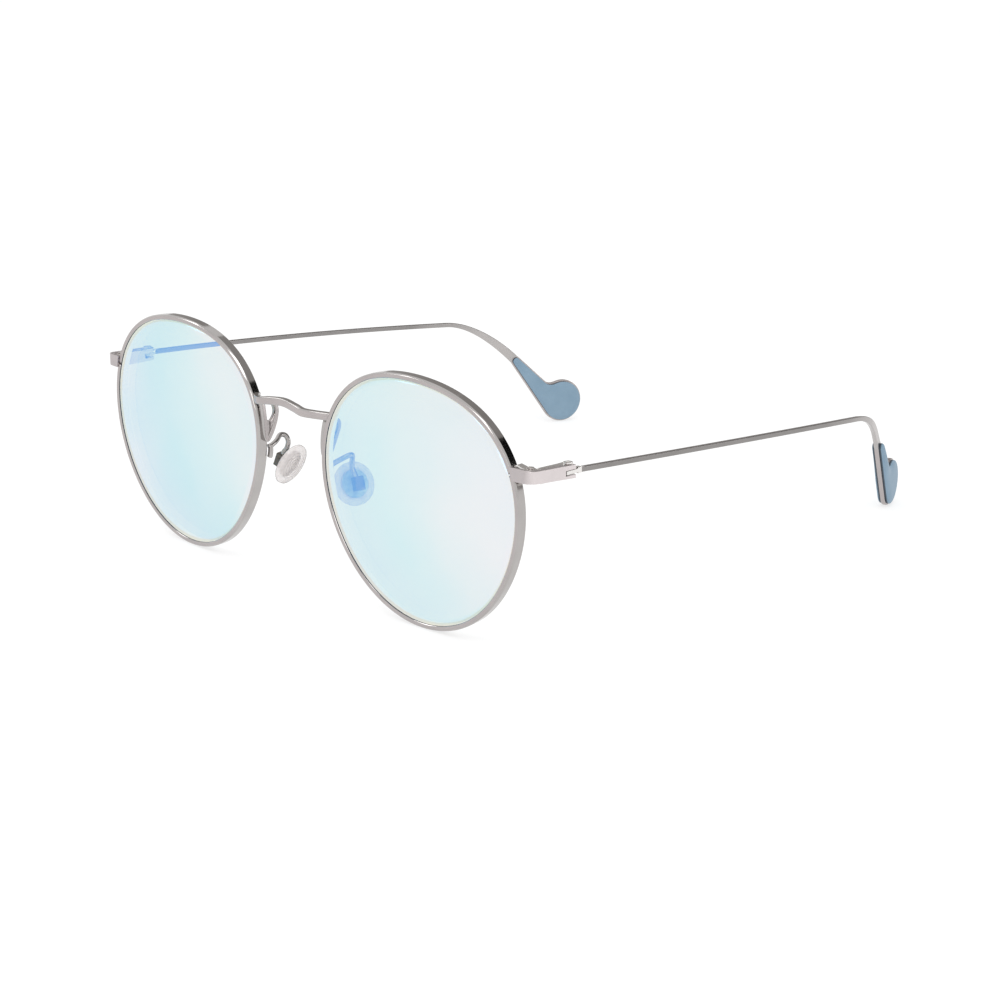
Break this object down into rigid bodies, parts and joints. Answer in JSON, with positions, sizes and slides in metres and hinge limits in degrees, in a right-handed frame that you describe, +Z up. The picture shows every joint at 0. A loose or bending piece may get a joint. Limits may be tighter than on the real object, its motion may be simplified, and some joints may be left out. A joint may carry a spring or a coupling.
{
  "type": "blue light glasses",
  "caption": "Panto wire-frame glasses with pale blue-tinted lenses, folding wire temples, soft paddle tips and rocking nose pads.",
  "frame": {"origin": "centre of the glasses' bounding box at the surface they stand on", "axes": "+X to the wearer's left, +Y back along the open temples, +Z up"},
  "size_m": [0.1312, 0.1406, 0.0502],
  "materials": {
    "satin_metal": "satin warm grey plating",
    "polished_metal": "polished",
    "lens_glass": "clear, pale blue tint with a green and pink coating",
    "pad_silicone": "clear soft silicone",
    "insert_plastic": "clear hard plastic",
    "tip_rubber": "soft matt, dusty blue"
  },
  "bodies": {
    "front": {"eyewire_left": "satin_metal", "eyewire_right": "satin_metal", "lens_left": "lens_glass", "lens_right": "lens_glass", "bridge": "satin_metal", "nose_brace_left": "satin_metal", "nose_brace_right": "satin_metal", "pad_arm_left": "polished_metal", "pad_arm_right": "polished_metal", "pad_box_left": "polished_metal", "pad_box_right": "polished_metal", "pad_screw_left": "polished_metal", "pad_screw_right": "polished_metal", "end_piece_left": "satin_metal", "end_piece_right": "satin_metal", "closing_block_upper_left": "polished_metal", "closing_block_upper_right": "polished_metal", "closing_block_lower_left": "polished_metal", "closing_block_lower_right": "polished_metal", "closing_screw_left": "polished_metal", "closing_screw_right": "polished_metal", "hinge_fork_left": "polished_metal", "hinge_fork_right": "polished_metal", "hinge_screw_left": "polished_metal", "hinge_screw_right": "polished_metal"},
    "temple_left": {"hinge_tongue_left": "polished_metal", "temple_left": "satin_metal", "tip_pad_outer_left": "tip_rubber", "tip_pad_inner_left": "tip_rubber"},
    "temple_right": {"hinge_tongue_right": "polished_metal", "temple_right": "satin_metal", "tip_pad_outer_right": "tip_rubber", "tip_pad_inner_right": "tip_rubber"},
    "pad_left": {"pad_insert_left": "insert_plastic", "nose_pad_left": "pad_silicone"},
    "pad_right": {"pad_insert_right": "insert_plastic", "nose_pad_right": "pad_silicone"}
  },
  "joints": [
    {"name": "temple_fold_left", "type": "hinge", "parent": "front", "child": "temple_left", "pos_m": [0.06375, -0.05483, 0.03518], "axis": [0, 0, 1], "range_deg": [0, 84]},
    {"name": "temple_fold_right", "type": "hinge", "parent": "front", "child": "temple_right", "pos_m": [-0.06375, -0.05483, 0.03518], "axis": [0, 0, -1], "range_deg": [0, 79]},
    {"name": "pad_rock_left", "type": "hinge", "parent": "front", "child": "pad_left", "pos_m": [0.01174, -0.05983, 0.02288], "axis": [0.2079, 0.9781, 0], "range_deg": [-6, 6]},
    {"name": "pad_rock_right", "type": "hinge", "parent": "front", "child": "pad_right", "pos_m": [-0.01174, -0.05983, 0.02288], "axis": [-0.2079, 0.9781, 0], "range_deg": [-6, 6]}
  ]
}
